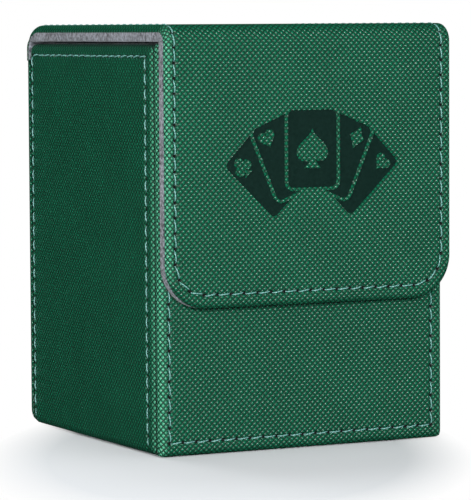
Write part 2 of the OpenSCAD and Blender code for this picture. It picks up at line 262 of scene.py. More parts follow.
def lay_sheet(
        width, start, end, depth, edge, square=2.0, cuts=(), patch=None, step=0.4, stops=(),
        crease=None):
    """Mesh of a covered plate laid flat, u across and v along, with its face at w = 0.

    The face is a grid. The rows of its edge, as deep as given, go round it station by station; at a
    corner they turn in a round, or nearly in a mitre where square is high. Each point also has its
    place on the uncut sheet. Loops close the plate where it is cut across, a patch leaves out part
    of the face, and no point of the face lies in a crease."""
    us = spaced(depth - width / 2, width / 2 - depth, step)
    vs = spaced(start + depth, end - depth, step, [*cuts, *stops])
    if crease:
        vs = vs[(vs < crease[0]) | (vs > crease[1])]
    grid = np.stack(np.meshgrid(us, vs, indexing="ij"), -1)
    arc = np.linspace(0, math.pi / 2, max(6, round(depth * 1.1 / step)) + 1)[1:-1]
    base, out = [], []
    borders = ((grid[:, 0], -90), (grid[-1], 0), (grid[::-1, -1], 90), (grid[0, ::-1], 180))
    for line, heading in borders:
        turn = math.radians(heading)
        base += list(line) + [line[-1]] * len(arc)
        out += [(math.cos(turn), math.sin(turn))] * len(line)
        out += [(math.cos(turn + a), math.sin(turn + a)) for a in arc]
    base, out = np.array(base), np.round(np.array(out), 12)
    out /= (np.abs(out) ** square).sum(1)[:, None] ** (1 / square)
    inset, height, run = edge.T
    # Past the corner's middle the rows are mitred, as a hem is folded
    limit = np.array([width / 2, (end - start) / 2])
    middle = np.array([0, (start + end) / 2])
    inner = np.maximum(inset - depth, 0)[None, :, None]
    room = limit - np.maximum(inset, depth)[None, :, None]
    ring = base[:, None] + out[:, None] * (depth - inset)[None, :, None] - middle
    ring = np.where(inner > 0, np.clip(ring, -room, room), ring) + middle
    ring = np.concatenate([ring, np.broadcast_to(height[None, :, None], ring.shape[:2] + (1,))], -1)
    ring_uv = base[:, None] + out[:, None] * run[None, :, None]
    flat = np.concatenate([grid, np.zeros(grid.shape[:2] + (1,))], -1)
    points = np.concatenate([flat.reshape(-1, 3), ring.reshape(-1, 3)])
    uv = np.concatenate([grid.reshape(-1, 2), ring_uv.reshape(-1, 2)])
    outer_rows = np.arange(len(edge)) < np.argmax(inset <= 1e-9) + 1
    outer = np.concatenate([np.ones(grid[..., 0].size, bool), np.tile(outer_rows, len(base))])
    n_u, n_v, n_s = len(us), len(vs), len(base)
    face_at = np.arange(n_u * n_v).reshape(n_u, n_v)
    ring_at = n_u * n_v + np.arange(n_s * len(edge)).reshape(n_s, len(edge))
    quads = np.stack([face_at[:-1, :-1], face_at[1:, :-1], face_at[1:, 1:], face_at[:-1, 1:]], -1)
    patch_rim = []
    if patch is not None:
        i = np.flatnonzero((us >= patch[0]) & (us <= patch[1]))
        j = np.flatnonzero((vs >= patch[2]) & (vs <= patch[3]))
        kept = np.ones(quads.shape[:2], bool)
        kept[i[0]:i[-1], j[0]:j[-1]] = False
        quads = quads[kept]
        patch_rim = [*face_at[i[:-1], j[0]], *face_at[i[-1], j[:-1]]]
        patch_rim += [*face_at[i[:0:-1], j[-1]], *face_at[i[0], j[:0:-1]]]
    after = np.roll(ring_at, -1, axis=0)
    bands = np.stack([ring_at[:, :-1], ring_at[:, 1:], after[:, 1:], after[:, :-1]], -1)
    # The pocket's floor runs straight across from edge to edge
    right = np.arange(n_u + len(arc), n_u + len(arc) + n_v)
    left = (2 * n_u + n_v + 3 * len(arc) + np.arange(n_v))[::-1]
    floor = ring_at[:, -1]
    across = np.stack([floor[left[1:]], floor[right[1:]], floor[right[:-1]], floor[left[:-1]]], -1)
    low = floor[np.arange(left[0], n_s + right[0] + 1) % n_s]
    high = floor[right[-1]:left[-1] + 1]
    # Points that several patches share become one
    _, first, same = np.unique(np.round(points, 5), axis=0, return_index=True, return_inverse=True)
    same = same.reshape(-1)

    def welded(ids):
        ids = same[np.asarray(ids)].tolist()
        return [a for a, b in zip(ids, ids[1:] + ids[:1]) if a != b]

    quads = same[np.concatenate([quads.reshape(-1, 4), bands.reshape(-1, 4), across])]
    whole = (np.diff(np.sort(quads, axis=1), axis=1) > 0).all(1)
    others = [list(dict.fromkeys(ids)) for ids in quads[~whole].tolist()]
    others = [ids for ids in others if len(ids) > 2] + [welded(low[::-1]), welded(high[::-1])]
    loops = {}
    for cut in cuts:
        j = int(np.argmin(abs(vs - cut)))
        loops[cut] = welded([*ring_at[left[j], ::-1], *face_at[:, j], *ring_at[right[j]]])
    return SimpleNamespace(
        points=points[first], uv=uv[first], outer=outer[first], needle=np.full(len(first), FAR),
        quads=quads[whole], others=others, loops=loops,
        patch_rim=same[patch_rim] if patch else None)


def seam_run(corners, closed=True):
    """Needle holes in order along a path of corners (u, v, radius), the stitches spread evenly."""
    corners = np.array(corners, float)
    spots, rounds = corners[:, :2], corners[:, 2]
    ways = np.roll(spots, -1, axis=0) - spots
    ways /= np.linalg.norm(ways, axis=1)[:, None]
    holes = []
    last = len(spots) - (0 if closed else 1)
    for i in range(last):
        j = (i + 1) % len(spots)
        start, stop = spots[i] + ways[i] * rounds[i], spots[j] - ways[i] * rounds[j]
        count = max(1, round(math.dist(start, stop) / STITCH))
        holes += [start + (stop - start) * k / count for k in range(count)]
        count = round(rounds[j] * math.pi / 2 / STITCH)
        for k in range(count):
            a = math.pi / 2 * k / count
            turned_in = stop + ways[j] * rounds[j] * (1 - math.cos(a))
            holes.append(turned_in + ways[i] * rounds[j] * math.sin(a))
    if not closed:
        holes.append(spots[-1])
    return np.array(holes)


def stitch_ends(holes, closed=True):
    """Where each stitch starts and ends."""
    return (holes, np.roll(holes, -1, axis=0)) if closed else (holes[:-1], holes[1:])


def press_seam(sheet, holes, closed=True):
    """Presses a seam's groove and its needle holes into the face of a sheet. Each point keeps its
    distance from the nearest hole, in hole sizes, for the finish to paint shade into the hole."""
    chosen = np.flatnonzero(sheet.outer)
    at = sheet.points[chosen, :2]
    seam_gap = np.full(len(at), np.inf)
    hole_gap = np.full(len(at), np.inf)
    for a, b in zip(*stitch_ends(holes, closed)):
        length = math.dist(a, b)
        way = (b - a) / length
        near = np.flatnonzero((np.abs(at - (a + b) / 2) < np.abs(b - a) / 2 + 2).all(1))
        along = (at[near] - a) @ way
        aside = (at[near] - a) @ (-way[1], way[0])
        past = np.maximum(np.abs(along - length / 2) - length / 2, 0)
        seam_gap[near] = np.minimum(seam_gap[near], np.hypot(aside, past))
        for from_hole in (along, along - length):
            off_hole = np.hypot(from_hole / HOLE_LONG, aside / HOLE_WIDE)
            hole_gap[near] = np.minimum(hole_gap[near], off_hole)
    sheet.points[chosen, 2] -= SEAM_PRESS * np.exp(-((seam_gap / SEAM_WIDTH) ** 2))
    sheet.points[chosen, 2] -= HOLE_PRESS * np.clip(1.5 - hole_gap, 0, 1)
    sheet.needle[chosen] = np.minimum(sheet.needle[chosen], hole_gap)


def make_piece(name, points, faces, material, uv, **values):
    """A piece from points in millimetres. It keeps each point's place on the flat sheet, and the
    values given for its points."""
    mesh = bpy.data.meshes.new(name)
    mesh.from_pydata(points * MM, [], faces)
    mesh.materials.append(material)
    mesh.polygons.foreach_set("use_smooth", np.ones(len(mesh.polygons), bool))
    corners = np.zeros(len(mesh.loops), np.int32)
    mesh.loops.foreach_get("vertex_index", corners)
    placed = (uv * MM)[corners].astype(np.float32).ravel()
    mesh.uv_layers.new(name="weave").uv.foreach_set("vector", placed)
    for key, value in values.items():
        kept = mesh.attributes.new(key, "FLOAT", "POINT")
        kept.data.foreach_set("value", np.asarray(value, np.float32))
    mesh.set_sharp_from_angle(angle=math.radians(50))
    piece = bpy.data.objects.new(name, mesh)
    scene.collection.objects.link(piece)
    return piece


def stand(points, middle, right, up, out):
    """Places flat points in the box: u to the right, v up and w outwards."""
    return np.array(middle) + points @ np.array([right, up, out], float)


def roll_highlight(points, width, roll):
    """Painted highlight on a sheet: from 0 on the face to 1 outside its side rolls."""
    return np.clip((np.abs(points[:, 0]) - width / 2) / roll + 1, 0, 1)


stitch_rows = {}


def tray_panel(node, right, out, seam, under=0.0, gap=0.0, open_foot=False):
    """A wall of the tray; seam is its distance from the left, right, lower and upper edge, and gap
    the open joint in front of it, where little light gets in."""
    low, high = (np.array(c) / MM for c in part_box(node))
    low[1] += gap
    width, height = np.abs((high - low) @ right), (high - low)[2]
    middle = np.where(np.array(out) == 0, (low + high) / 2, np.where(np.array(out) > 0, high, low))
    left_u, right_u = seam[0] - width / 2, width / 2 - seam[1]
    low_v, high_v = seam[2] - height / 2, height / 2 - seam[3]
    path = [(right_u, low_v, 0), (right_u, high_v, 0), (left_u, high_v, 0), (left_u, low_v, 0)]
    holes = seam_run(path, not open_foot)
    edge = wrapped_edge(PANEL_EDGE, PANEL_ROLL, PANEL, seam, under)
    sheet = lay_sheet(width, -height / 2, height / 2, PANEL_EDGE, edge, PANEL_MITRE)
    press_seam(sheet, holes, not open_foot)
    # Painted shade: the deep part of the joint is coloured dark
    if gap:
        forward = sheet.points[:, 0] * -right[1]
        in_joint = (forward > width / 2 - PANEL_ROLL) & (sheet.points[:, 2] < -JOINT_DEEP)
        sheet.needle[in_joint] = JOINT_SHADE
    placed = stand(sheet.points, middle, right, (0, 0, 1), out)
    faces = sheet.quads.tolist() + sheet.others
    # The side rolls are drawn paler as a painted highlight
    rub = roll_highlight(sheet.points, width, PANEL_ROLL)
    piece = make_piece(
        node + "_cover", placed, faces, leatherette, sheet.uv, needle=sheet.needle, rub=rub)
    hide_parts(node)
    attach(piece, "box")
    to_edge = np.minimum(width / 2 - np.abs(holes[:, 0]), height / 2 - np.abs(holes[:, 1]))
    turned_over = np.maximum(PANEL_ROLL - to_edge, 0)
    sunk = np.sqrt(PANEL_ROLL ** 2 - turned_over ** 2) - PANEL_ROLL
    on_face = stand(np.column_stack([holes, sunk]), middle, right, (0, 0, 1), out)
    stitch_rows[node] = (*stitch_ends(on_face, not open_foot), np.array(out, float))


tray_panel("front_skin", (1, 0, 0), (0, -1, 0), FRONT_SEAMS, under=FRONT_UNDER)
for node, right, out, seam in (
        ("left_skin", (0, -1, 0), (-1, 0, 0), (REAR_SEAM, FORE_SEAM, FOOT_SEAM, TOP_SEAM)),
        ("right_skin", (0, 1, 0), (1, 0, 0), (FORE_SEAM, REAR_SEAM, FOOT_SEAM, TOP_SEAM))):
    tray_panel(node, right, out, seam, gap=SIDE_GAP, open_foot=True)

# Bottom panel. A board covered in the same leatherette, let in between the walls. It has no seam
# and is what the box stands on.
BOTTOM_EDGE, BOTTOM_ROLL, BOTTOM_MITRE = 3, 1, 6.6
# How far along the sheet its outer edge and its inside lie
EDGE_RUN, INSIDE_RUN = 4.9, 5.4
low, high = (np.array(c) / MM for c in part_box("bottom_skin"))
width, depth, thick = high - low
rim = [(d, 0, BOTTOM_EDGE - d) for d in range(BOTTOM_EDGE, BOTTOM_ROLL - 1, -1)]
for a in np.linspace(0, math.pi / 2, 7)[1:]:
    inset, sunk = BOTTOM_ROLL * (1 - math.sin(a)), BOTTOM_ROLL * (math.cos(a) - 1)
    rim.append((inset, sunk, BOTTOM_EDGE - BOTTOM_ROLL + BOTTOM_ROLL * a))
rim += [(0, -thick, EDGE_RUN), (SKIN, -thick, INSIDE_RUN), (SKIN, -SKIN, INSIDE_RUN)]
sheet = lay_sheet(width, -depth / 2, depth / 2, BOTTOM_EDGE, np.array(rim), BOTTOM_MITRE, step=1)
placed = stand(sheet.points, (0, (low[1] + high[1]) / 2, 0), (1, 0, 0), (0, -1, 0), (0, 0, -1))
faces = sheet.quads.tolist() + sheet.others
piece = make_piece("bottom_skin_cover", placed, faces, leatherette, sheet.uv, needle=sheet.needle)
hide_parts("bottom_skin")
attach(piece, "box")

# Tray lining. Grey microfibre, 1 mm thick, is glued to the boards and turned over at the rim, where
# it shows as a thin grey line under the lid. Its fibres stand up in a soft, clumped nap.
FLOOR, RIM, CLOTH = 2.8, 97.6, 1.0
SIDE_IN, BAY_FRONT, BAY_BACK = 35.3, -32.9, 36.5
RIM_BEND, RIM_R, RIM_ROLL, RUN_STEP = (38, 96.4), 1.2, 0.6, 1.5
X, Y, Z, MINUS_X = (1, 0, 0), (0, 1, 0), (0, 0, 1), (-1, 0, 0)
microfibre, tree = new_finish("microfibre_suede")
place = add(tree, "ShaderNodeUVMap", uv_map="weave").outputs["UV"]
nap = noise(tree, place, 0.9, 4)
brushed = noise(tree, place, 9, 2)
clumped = calc(tree, "MULTIPLY_ADD", brushed, 0.3, nap)
surface(tree, {
    "Base Color": toned(tree, clumped, (0.5, "#26292E"), (0.8, "#7E828A")),
    "Normal": bumped(tree, nap, 0.3), "Roughness": 0.95,
    "Specular IOR Level": 0.2, "Sheen Weight": 0.25, "Sheen Roughness": 0.5})


def arc_points(middle, radius, start, end, count=7):
    """Points on an arc, by headings in degrees."""
    turns = np.radians(np.linspace(start, end, count))
    return [(middle[0] + radius * math.cos(t), middle[1] + radius * math.sin(t)) for t in turns]


def lining_strip(node, outline, start, end, right, up, along, soft=0.22, step=1.5):
    """Lining of one section run from start to end, with softened ends. The outline goes round
    counter-clockwise seen against the run; right and up are its two directions in the box."""
    outline = np.array(outline)
    fine = []
    for a, b in zip(outline, np.roll(outline, -1, axis=0)):
        parts = max(1, round(math.dist(a, b) / step))
        fine += [a + (b - a) * i / parts for i in range(parts)]
    fine = np.array(fine)
    forward = np.roll(fine, -1, axis=0) - np.roll(fine, 1, axis=0)
    normal = np.column_stack([forward[:, 1], -forward[:, 0]])
    normal /= np.linalg.norm(normal, axis=1)[:, None]
    around = np.concatenate([[0], np.cumsum(np.linalg.norm(np.diff(fine, axis=0), axis=1))])
    # Distance from the end, and how far the section is drawn in there
    turns = np.linspace(0, math.pi / 2, 4)
    easing = [(soft - soft * math.cos(a), soft - soft * math.sin(a)) for a in turns]
    stations = [(start + x, y) for x, y in easing]
    stations += [(x, 0) for x in spaced(start + soft, end - soft, RUN_STEP)[1:-1]]
    stations += [(end - x, y) for x, y in easing[::-1]]
    rows = [np.column_stack([fine - normal * y, np.full(len(fine), x)]) for x, y in stations]
    points = np.concatenate(rows) @ np.array([right, up, along], float)
    uv = np.concatenate([np.column_stack([around, np.full(len(fine), x)]) for x, y in stations])
    at = np.arange(len(points)).reshape(len(stations), len(fine))
    after = np.roll(at, -1, axis=1)
    faces = np.stack([at[:-1], after[:-1], after[1:], at[1:]], -1).reshape(-1, 4).tolist()
    faces += [at[0, ::-1].tolist(), at[-1].tolist()]
    piece = make_piece(node + "_cloth", points, faces, microfibre, uv)
    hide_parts(node)
    return piece


def rim_outline(inner, outer):
    """Wall lining seen along its run, from the floor board up to a round rim."""
    r = (outer - inner) / 2
    return [(inner, FLOOR), (outer, FLOOR)] + arc_points((outer - r, RIM - r), r, 0, 180, 9)


back_rim = [(BAY_BACK, FLOOR), (BAY_BACK + CLOTH, FLOOR), (BAY_BACK + CLOTH, RIM_BEND[1])]
back_rim += arc_points(RIM_BEND, RIM_R, 0, 90)
back_rim += arc_points((BAY_BACK + RIM_ROLL, RIM - RIM_ROLL), RIM_ROLL, 90, 180)
bay_floor = [
    (BAY_FRONT, FLOOR), (BAY_BACK, FLOOR), (BAY_BACK, FLOOR + CLOTH), (BAY_FRONT, FLOOR + CLOTH)]
front_rim = rim_outline(BAY_FRONT - CLOTH, BAY_FRONT)
left_rim, right_rim = rim_outline(SIDE_IN - CLOTH, SIDE_IN), rim_outline(-SIDE_IN, CLOTH - SIDE_IN)
for piece in (
        lining_strip("front_lining", front_rim, -SIDE_IN, SIDE_IN, Y, Z, X),
        lining_strip("back_lining", back_rim, -SIDE_IN, SIDE_IN, Y, Z, X),
        lining_strip("left_lining", left_rim, BAY_FRONT, BAY_BACK, MINUS_X, Z, Y),
        lining_strip("right_lining", right_rim, BAY_FRONT, BAY_BACK, MINUS_X, Z, Y),
        lining_strip("bottom_lining", bay_floor, CLOTH - SIDE_IN, SIDE_IN - CLOTH, Y, Z, X)):
    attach(piece, "box")

# Wrap cover, back. One strip of leatherette over three cards runs up the back, round a soft bend
# over the top and down the front as the flap. Its edges are rolled and sewn all round.
WIDTH, SHELL, COVER_ROLL = 77, 1.9, 1.7
HINGE_R, HINGE_SPREAD, FOLD_R = 5.5, 2.5, 4.4
BACK_Y, HINGE_Y, FOLD_Y, FLAP_Y = 41.4, 35.9, -37.0, -41.4
TOP, HINGE_Z, FOLD_Z, TAIL_Z = 102, 96.5, 97.6, 93
BACK_LOW, FLAP_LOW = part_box("back_skin")[0].z / MM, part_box("flap_skin")[0].z / MM
V_BEND = HINGE_Z - BACK_LOW
V_LID = V_BEND + HINGE_R * math.pi / 2
V_FOLD = V_LID + HINGE_Y - FOLD_Y
V_FLAP = V_FOLD + FOLD_R * math.pi / 2
V_END = V_FLAP + FOLD_Z - FLAP_LOW
# The bends carry a little of the flat beside them, so that pieces meet where the strip is straight
BESIDE = 3
CUT_BACK, CUT_LID = TAIL_Z - BACK_LOW, V_LID + BESIDE
CUT_FOLD, CUT_FLAP = V_FOLD - BESIDE, V_FLAP + BESIDE
V_LEVEL = V_LID + HINGE_SPREAD
LEFT_SEAM, BACK_SEAM, RIGHT_SEAM, FLAP_SEAM = COVER_SEAMS = (2.0, 2.5, 3.0, 3.3)
BACK_ROUND, FLAP_ROUND = 2.3, 7.5
BACK_CORNER, BACK_SQUARE, SPARE = 4.5, 3.2, 6


def strip_line(v):
    """Depth and height of the strip's face, and its outward direction, at a length along it."""
    bend = np.clip((v - V_BEND) / (V_LEVEL - V_BEND), 0, 1) * math.pi / 2
    fold = np.clip((v - V_FOLD) / FOLD_R, 0, math.pi / 2)
    # The soft hinge bends in an ellipse that runs out along the lid
    reach = HINGE_R + HINGE_SPREAD
    turn = np.arctan2(np.sin(bend) * reach, np.cos(bend) * HINGE_R) + fold
    y = BACK_Y - reach * (1 - np.cos(bend)) - np.clip(v - V_LEVEL, 0, V_FOLD - V_LEVEL)
    y -= FOLD_R * np.sin(fold)
    z = BACK_LOW + np.minimum(v, V_BEND) + HINGE_R * np.sin(bend)
    z -= FOLD_R * (1 - np.cos(fold)) + np.maximum(v - V_FLAP, 0)
    return y, z, np.cos(turn), np.sin(turn)


def bend_strip(points, side=-1):
    """Carries flat points round the box: u across, v along the strip, w out of its face."""
    y, z, out_y, out_z = strip_line(points[:, 1])
    w = points[:, 2]
    return np.column_stack([side * points[:, 0], y + w * out_y, z + w * out_z])


def cut_out(sheet, start=None, end=None):
    """The part of a sheet between two cuts, closed at the cuts, with only its own points."""
    low = -np.inf if start is None else start
    high = np.inf if end is None else end
    v = sheet.points[:, 1]
    centres = v[sheet.quads].mean(1)
    quads = sheet.quads[(centres > low) & (centres < high)]
    others = [ids for ids in sheet.others if low < v[ids].mean() < high]
    if start is not None:
        others.append(sheet.loops[start])
    if end is not None:
        others.append(sheet.loops[end][::-1])
    used = np.unique(np.concatenate([quads.ravel(), *others]))
    place = np.zeros(len(v), int)
    place[used] = np.arange(len(used))
    return SimpleNamespace(
        points=sheet.points[used], uv=sheet.uv[used], needle=sheet.needle[used],
        faces=place[quads].tolist() + [place[ids].tolist() for ids in others])


def strip_piece(name, part):
    """A part of the strip, bent round the box. Its side rolls get a painted highlight from the fold
    on.
    """
    rub = roll_highlight(part.points, WIDTH, COVER_ROLL)
    rub *= np.clip((part.points[:, 1] - V_FOLD) / (V_FLAP - V_FOLD), 0, 1)
    return make_piece(
        name, bend_strip(part.points), part.faces, leatherette, part.uv,
        needle=part.needle, rub=rub)


cover_holes = seam_run([
    (RIGHT_SEAM - WIDTH / 2, BACK_SEAM, BACK_ROUND), (WIDTH / 2 - LEFT_SEAM, BACK_SEAM, BACK_ROUND),
    (WIDTH / 2 - LEFT_SEAM, V_END - FLAP_SEAM, FLAP_ROUND),
    (RIGHT_SEAM - WIDTH / 2, V_END - FLAP_SEAM, FLAP_ROUND)])
edge = wrapped_edge(BACK_CORNER, COVER_ROLL, SHELL, COVER_SEAMS)
sheet = lay_sheet(WIDTH, 0, CUT_BACK + SPARE, BACK_CORNER, edge, BACK_SQUARE, [CUT_BACK])
press_seam(sheet, cover_holes)
piece = strip_piece("back_skin_cover", cut_out(sheet, None, CUT_BACK))
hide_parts("back_skin")
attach(piece, "box")

# Hinge bend. The strip has no card here: the leatherette thins from the lid's full edge to one
# layer, so that the lid can swing right over behind the box. It creases just above the tray's rim:
# the lid turns by more than half a turn, and what lay across the crease would turn the other way.
HINGE_CREASE = (V_BEND + 2.2, V_BEND + 4.7)
# From start to end is 0.01 mm in the crease's middle, so each point goes with the box or the lid
sheet = lay_sheet(
    WIDTH, CUT_BACK - SPARE, CUT_LID + SPARE, BACK_CORNER, edge[:-HEM_ROWS],
    cuts=[CUT_BACK, CUT_LID], crease=HINGE_CREASE)
bent = np.clip((sheet.points[:, 1] - V_BEND) / (V_LEVEL - V_BEND), 0, 1)
thin = SKIN + (SHELL - SKIN) * np.sin(bent * math.pi / 2)
sheet.points[:, 2] = np.maximum(sheet.points[:, 2], -thin)
press_seam(sheet, cover_holes)
piece = strip_piece("hinge_skin_cover", cut_out(sheet, CUT_BACK, CUT_LID))
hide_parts("hinge_skin")
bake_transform(piece)

# Lid, fold and flap. The front half of the strip, with a card in the lid and one in the flap. The
# flap's lower corners are cut round, and a fan of playing cards is hot stamped into its face.
FLAP_CORNER = 10.5
STAMP_Z, STAMP_DEPTH, STAMP_SLOPE = 69, 0.3, 0.14
PATCH_U, PATCH_V, FLAP_SPARE = 24.5, 15.5, 14
CARD, CARD_ROUND, CARD_REACH, CARD_LINE = (13.4, 18.6), 1.6, 17.2, 0.65

# Stamping foil: dark blue green, pressed smooth by the hot die, with a faint trace of the weave
stamped, tree = new_finish("hot_stamped_foil")
place = add(tree, "ShaderNodeTexCoord").outputs["Object"]
worn = noise(tree, place, 0.7, 4)
surface(tree, {
    "Base Color": mixed(tree, worn, linear("#031410"), linear("#0A241E")),
    "Normal": bumped(tree, worn, 0.04), "Roughness": carried(tree, worn, 0.35, 0.6),
    "Specular IOR Level": 0.1})


def card_shape(grow=0.0):
    """A playing card's outline round the origin, grown on all sides."""
    w, h, r = CARD[0] / 2 + grow, CARD[1] / 2 + grow, CARD_ROUND + grow
    corners = ((w - r, r - h, -90), (w - r, h - r, 0), (r - w, h - r, 90), (r - w, r - h, 180))
    return np.array([p for x, y, a in corners for p in arc_points((x, y), r, a, a + 90, 9)])


def heart(size):
    """A heart. Each pip is a list of outlines round the origin."""
    t = np.linspace(0, 2 * math.pi, 49)[:-1]
    x = 16 * np.sin(t) ** 3
    y = 13 * np.cos(t) - 5 * np.cos(2 * t) - 2 * np.cos(3 * t) - np.cos(4 * t)
    return [np.column_stack([-x, y + 2.5]) * size / 34]


def foot(size):
    """The flared stem of a spade or a club."""
    side = [(0.06, -0.1), (0.08, -0.3), (0.13, -0.42), (0.22, -0.5)]
    return [np.array([(-x, y) for x, y in side] + [(x, y) for x, y in side[::-1]]) * size]


def spade(size):
    return [heart(size * 0.92)[0] * (-1, -1) + (0, 0.06 * size)] + foot(size)


def club(size):
    leaves = [(0, 0.24 * size), (-0.24 * size, -0.1 * size), (0.24 * size, -0.1 * size)]
    shapes = [np.array(arc_points(m, 0.235 * size, 0, 350, 36)) for m in leaves]
    return shapes + [np.array(arc_points((0, 0), 0.1 * size, 0, 330, 12))] + foot(size)


def diamond(size):
    w, h, pull = 0.38 * size, 0.52 * size, 0.9
    tips = [(w, 0), (0, h), (-w, 0), (0, -h)]
    shape = []
    for a, b in zip(tips, tips[1:] + tips[:1]):
        for t in np.linspace(0, 1, 7)[:-1]:
            bow = 1 - (1 - pull) * 4 * t * (1 - t)
            shape.append(((a[0] + (b[0] - a[0]) * t) * bow, (a[1] + (b[1] - a[1]) * t) * bow))
    return [np.array(shape)]


def leaned(shapes, turn, at):
    """Shapes moved to a place on an upright card, and the card then leaned out in the fan."""
    c, s = math.cos(math.radians(turn)), math.sin(math.radians(turn))
    spin = np.array([[c, -s], [s, c]])
    return [(shape + at) @ spin for shape in shapes]


def winding(at, loops):
    """How many times directed loops go round each point."""
    total = np.zeros(len(at))
    for loop in loops:
        a = loop[None] - at[:, None]
        b = np.roll(loop, -1, axis=0)[None] - at[:, None]
        total += np.arctan2(a[..., 0] * b[..., 1] - a[..., 1] * b[..., 0], (a * b).sum(-1)).sum(1)
    return np.round(total / (2 * math.pi))


def triangles_of(loops):
    """Points and triangles of the plane cut along closed loops, and each point's first source."""
    count, edges = 0, []
    for loop in loops:
        edges += [(count + i, count + (i + 1) % len(loop)) for i in range(len(loop))]
        count += len(loop)
    found = delaunay_2d_cdt([Vector(p) for p in np.concatenate(loops)], edges, [], 0, 1e-5)
    source = [ids[0] if ids else -1 for ids in found[3]]
    return np.array([tuple(p) for p in found[0]]), np.array(found[2]), np.array(source)


def drawn_in(loop, by):
    """A loop moved to its left by a distance."""
    before, after = loop - np.roll(loop, 1, axis=0), np.roll(loop, -1, axis=0) - loop
    before /= np.linalg.norm(before, axis=1)[:, None]
    after /= np.linalg.norm(after, axis=1)[:, None]
    bisector = before + after
    bisector /= np.maximum(np.linalg.norm(bisector, axis=1), 1e-6)[:, None]
    left = np.column_stack([-bisector[:, 1], bisector[:, 0]])
    stretch = np.clip((left * np.column_stack([-after[:, 1], after[:, 0]])).sum(1), 0.5, 1)
    return loop + left * (by / stretch)[:, None]


# The middle card lies on top, then its neighbours, then the outer pair
fan = []
for turn, pip, spot in (
        (0, spade(9.5), (0, 0.2)),
        (-23, heart(4.6), (-3.5, 5.6)),
        (23, diamond(5), (3.5, 5.6)),
        (-46, club(4.8), (-3.5, 5.6)),
        (46, heart(4.4), (3.5, 5.6))):
    at = np.array([0, CARD_REACH])
    card, border = leaned([card_shape(), card_shape(CARD_LINE)], turn, at)
    fan.append((card, border, leaned(pip, turn, at + spot)))
drawn = [loop for card, border, marks in fan for loop in (card, border, *marks)]
flat, cells, _ = triangles_of(drawn)
centres = flat[cells].mean(1)
pressed_in, settled = np.zeros(len(cells), bool), np.zeros(len(cells), bool)
for card, border, marks in fan:
    here = (winding(centres, [border]) != 0) & ~settled
    plain = np.zeros(len(cells), bool)
    for mark in marks:
        plain |= winding(centres, [mark]) != 0
    pressed_in |= here & (winding(centres, [card]) != 0) & ~plain
    settled |= here
sides = {}
for a, b, c in cells[pressed_in]:
    for side in ((a, b), (b, c), (c, a)):
        if side[::-1] in sides:
            del sides[side[::-1]]
        else:
            sides[side] = True
following = {}
for a, b in sides:
    following.setdefault(a, []).append(b)
outlines = []
while following:
    here = next(iter(following))
    loop = []
    while here in following:
        loop.append(here)
        nexts = following[here]
        onward = nexts.pop()
        if not nexts:
            del following[here]
        here = onward
    if len(loop) > 4:
        outlines.append(flat[loop])
lift = (flat[:, 1].max() + flat[:, 1].min()) / 2

stamp_v = V_FLAP + FOLD_Z - STAMP_Z
edge = wrapped_edge(FLAP_CORNER, COVER_ROLL, SHELL, COVER_SEAMS)
sheet = lay_sheet(
    WIDTH, CUT_LID - FLAP_SPARE, V_END, FLAP_CORNER, edge, cuts=[CUT_LID, CUT_FOLD, CUT_FLAP],
    patch=(-PATCH_U, PATCH_U, stamp_v - PATCH_V, stamp_v + PATCH_V))
press_seam(sheet, cover_holes)
# The stamp is drawn upright, and the strip's v runs down the flap
tops = [np.column_stack([-loop[:, 0], stamp_v - (loop[:, 1] - lift)]) for loop in outlines]
beds = [drawn_in(loop, STAMP_SLOPE) for loop in tops]
rim = sheet.patch_rim
flat, cells, source = triangles_of([sheet.points[rim, :2], *tops, *beds])
first_bed = len(rim) + sum(len(loop) for loop in tops)
height = np.where(source >= first_bed, -STAMP_DEPTH, 0.0)
on_rim = (source >= 0) & (source < len(rim))
stamp_at = np.zeros(len(flat), int)
stamp_at[on_rim] = rim[source[on_rim]]
stamp_at[~on_rim] = len(sheet.points) + np.arange((~on_rim).sum())
sheet.points = np.concatenate([sheet.points, np.column_stack([flat, height])[~on_rim]])
sheet.uv = np.concatenate([sheet.uv, flat[~on_rim]])
sheet.needle = np.concatenate([sheet.needle, np.full((~on_rim).sum(), FAR)])
sheet.others += stamp_at[cells].tolist()
for name, start, end in (
        ("lid_skin", CUT_LID, CUT_FOLD), ("fold_skin", CUT_FOLD, CUT_FLAP),
        ("flap_skin", CUT_FLAP, None)):
    part = cut_out(sheet, start, end)
    piece = strip_piece(name + "_cover", part)
    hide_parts(name)
    if name == "lid_skin":
        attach(piece, "lid")
    elif name == "fold_skin":
        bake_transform(piece)
    else:
        bed = np.abs(part.points[:, 2] + STAMP_DEPTH) < 1e-9
        piece.data.materials.append(stamped)
        foil = np.array([bed[ids].all() for ids in part.faces], np.int32)
        piece.data.polygons.foreach_set("material_index", foil)
        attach(piece, "flap")

# Cover lining. The same microfibre is drawn over a board under the lid and one behind the flap. A
# bare strip of it lies in the fold between them and another round the hinge, glued to the skin.
LINER, LINER_ROLL, LINER_OUT, LINER_STEP = 2.2, 0.4, 0.25, 1.2
FOOT_RUN = 12.4
UNDER_R, OVER_R, OVER_Z, SHORT, FINE = 1.5, 4.6, 95.4, 0.2, 0.25
soft_edge = [(d, 0, FLAP_CORNER - d) for d in spaced(LINER_ROLL, FLAP_CORNER, LINER_STEP)[::-1]]
for a in np.linspace(0, math.pi / 2, 6)[1:]:
    turned_in, sunk = LINER_ROLL * (1 - math.sin(a)), LINER_ROLL * (math.cos(a) - 1)
    soft_edge.append((turned_in, sunk, FLAP_CORNER + LINER_ROLL * (a - 1)))
soft_edge.append((0, -LINER, FOOT_RUN))
soft_edge += [(CLOTH, -LINER, FOOT_RUN + CLOTH), (CLOTH, -CLOTH, FOOT_RUN + LINER)]
sheet = lay_sheet(
    WIDTH + 2 * LINER_OUT, V_LID - FLAP_SPARE, V_END, FLAP_CORNER, np.array(soft_edge),
    cuts=[V_LID, V_FOLD, V_FLAP], step=LINER_STEP, stops=np.linspace(V_FOLD, V_FLAP, 13)[1:-1])
